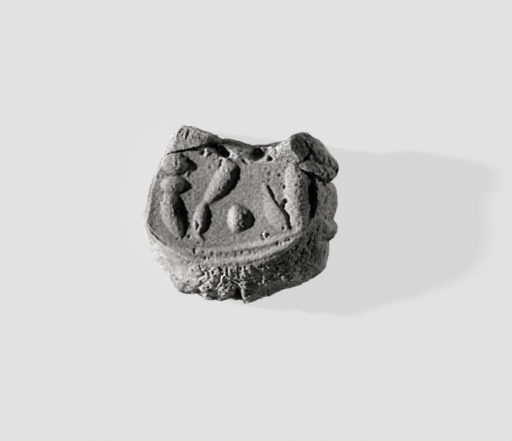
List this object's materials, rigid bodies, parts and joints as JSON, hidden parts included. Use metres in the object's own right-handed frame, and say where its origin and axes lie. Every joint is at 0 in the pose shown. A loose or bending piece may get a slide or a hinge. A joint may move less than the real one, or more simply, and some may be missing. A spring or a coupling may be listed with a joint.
{
  "type": "clay bulla",
  "caption": "Small dried lump of clay with the raised print of a drilled seal in a double border, a folded corner lobe, a cracked corner flake and a channel for a cord.",
  "frame": {"origin": "under the middle of the outline, at the level of the back that the bulla rests on", "axes": "+Z out of the stamped face, +Y to the broken upper edge, +X to the right across the stamped face"},
  "size_m": [0.0298, 0.0272, 0.0132],
  "materials": {
    "front_clay": "matt dried clay, worn smooth on the raised forms, crumbly at the foot",
    "back_clay": "matt dried clay, coarse, with prints of reed strands",
    "lobe_clay": "matt dried clay with drag marks from the fingers",
    "flake_clay": "matt dried clay with small pits",
    "grit": "pale matt grit"
  },
  "bodies": {
    "root": {"back_clay_pad": "back_clay", "front_clay_pad": "front_clay", "folded_clay_lobe": "lobe_clay", "cracked_corner_flake": "flake_clay", "grit_by_middle_ball": "grit", "grit_by_broken_edge": "grit", "grit_at_foot": "grit"}
  },
  "joints": []
}
